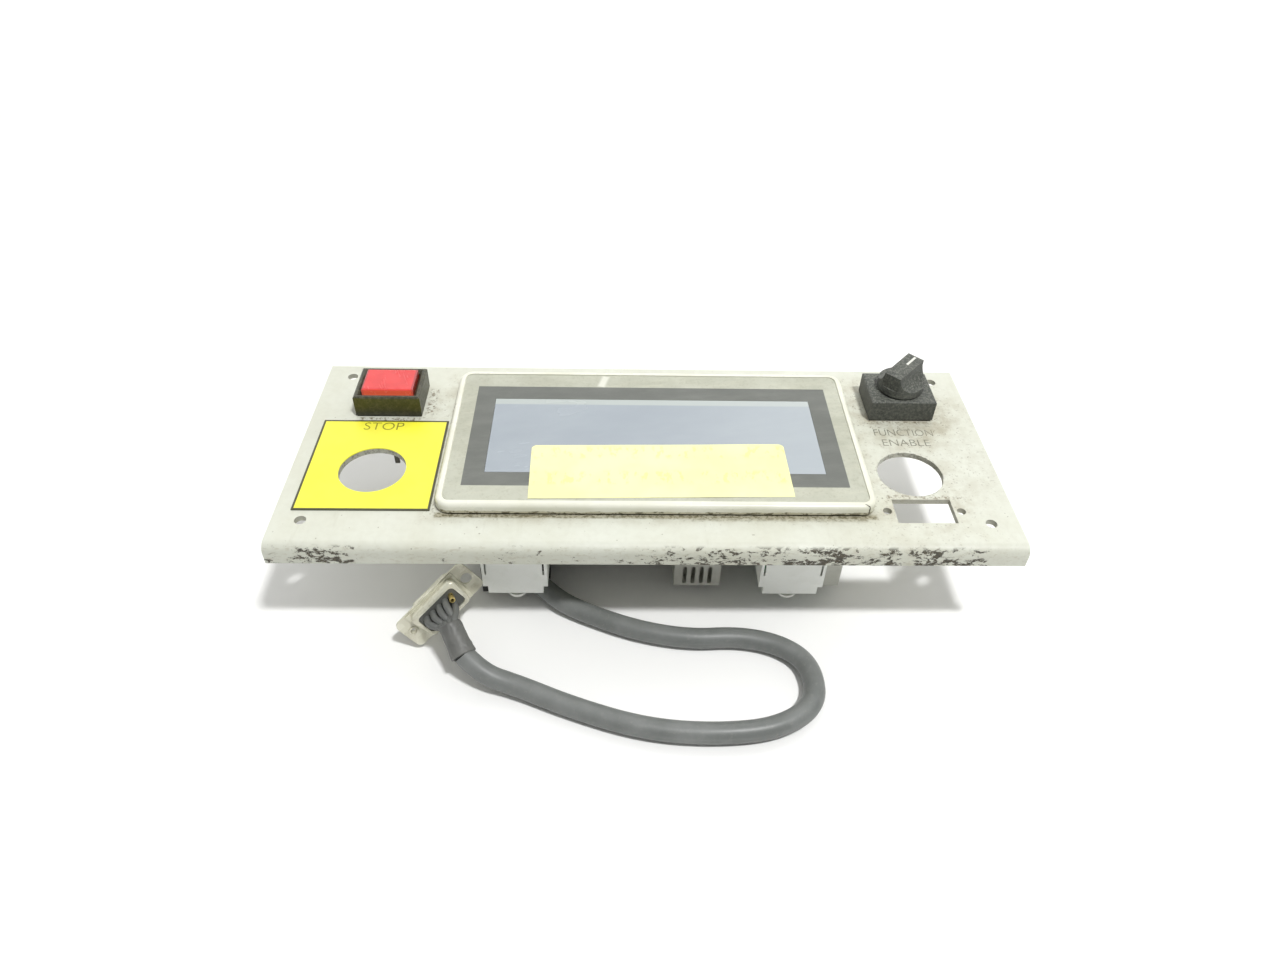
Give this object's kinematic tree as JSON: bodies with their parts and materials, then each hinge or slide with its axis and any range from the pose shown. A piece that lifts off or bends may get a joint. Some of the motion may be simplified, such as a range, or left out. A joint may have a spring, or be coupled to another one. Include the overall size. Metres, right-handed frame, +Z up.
{
  "type": "emergency stop operator panel",
  "caption": "Bent steel operator panel with a yellow emergency stop legend and its control hole, a display terminal, a red illuminated push button, a selector switch and a data cable.",
  "frame": {"origin": "under the middle of the front panel, on the surface that the terminal's case stands on", "axes": "+X along the panel to its right end, +Y to its back edge, +Z up through its face"},
  "size_m": [0.245, 0.1422, 0.064],
  "materials": {
    "panel_paint": "worn semi-gloss paint",
    "legend_yellow": "satin label",
    "bezel_plastic": "gloss",
    "film_print": "matt, soiled",
    "window_clear": "smooth",
    "touch_glass": "smooth",
    "screen_body": "matt",
    "label_paper": "paper",
    "case_plastic": "matt",
    "circuit_green": "satin",
    "zinc_sheet": "zinc plated",
    "screw_steel": "zinc plated",
    "black_plastic": "satin, dusty",
    "red_lens": "clear red",
    "lamp_white": "smooth",
    "seal_rubber": "matt",
    "contact_brass": "bright",
    "spring_steel": "bright",
    "white_paint": "matt",
    "terminal_green": "matt",
    "cable_sheath": "satin",
    "sleeve_black": "satin",
    "tin_plate": "tarnished"
  },
  "bodies": {
    "panel": {"front_panel": "panel_paint", "estop_legend_plate": "legend_yellow", "terminal_gasket": "seal_rubber", "terminal_bezel": "bezel_plastic", "overlay_film": "film_print", "display_window": "window_clear", "touch_panel": "touch_glass", "lcd_module": "screen_body", "stock_label": "label_paper", "terminal_rear_case": "case_plastic", "terminal_circuit_board": "circuit_green", "case_screws": "screw_steel", "port_connector": "tin_plate", "supply_terminal_block": "terminal_green", "supply_terminal_screws": "screw_steel", "clamp_bracket_front_left": "zinc_sheet", "clamp_bracket_front_right": "zinc_sheet", "clamp_bracket_rear_left": "zinc_sheet", "clamp_bracket_rear_right": "zinc_sheet", "clamp_screws": "screw_steel", "button_seal": "seal_rubber", "button_mounting_nut": "black_plastic", "button_solder_tabs": "contact_brass", "selector_seal": "seal_rubber", "selector_mounting_nut": "black_plastic", "selector_solder_tabs": "contact_brass", "button_housing": "black_plastic", "button_lamp_socket": "black_plastic", "button_lamp": "lamp_white", "button_return_spring": "spring_steel", "button_contact_block": "black_plastic", "button_fixed_contacts": "contact_brass", "selector_housing": "black_plastic", "selector_contact_block": "black_plastic", "selector_fixed_contacts": "contact_brass", "selector_detent_ball": "spring_steel", "selector_detent_spring": "spring_steel", "port_plug_hood": "black_plastic", "cable": "cable_sheath", "cable_sleeve": "sleeve_black", "connector_shell": "tin_plate", "connector_insulator": "black_plastic", "connector_contacts": "contact_brass", "connector_insert": "tin_plate", "connector_wires": "cable_sheath"},
    "push_button": {"button_lens": "red_lens", "button_plunger": "black_plastic", "button_contact_bridges": "contact_brass"},
    "selector": {"selector_knob": "black_plastic", "selector_pointer_line": "white_paint", "selector_shaft": "black_plastic", "selector_retaining_clip": "spring_steel", "selector_contact_bridge": "contact_brass"}
  },
  "joints": [
    {"name": "button_press", "type": "slide", "parent": "panel", "child": "push_button", "axis": [0, 0, -1], "range_m": [0, 0.0025], "stiffness_N_per_m": 800, "springref_m": -0.002, "deforming": ["button_return_spring"]},
    {"name": "selector_turn", "type": "hinge", "parent": "panel", "child": "selector", "pos_m": [0.095, 0.0265, 0.0538], "axis": [0, 0, 1], "range_deg": [0, 90]}
  ]
}
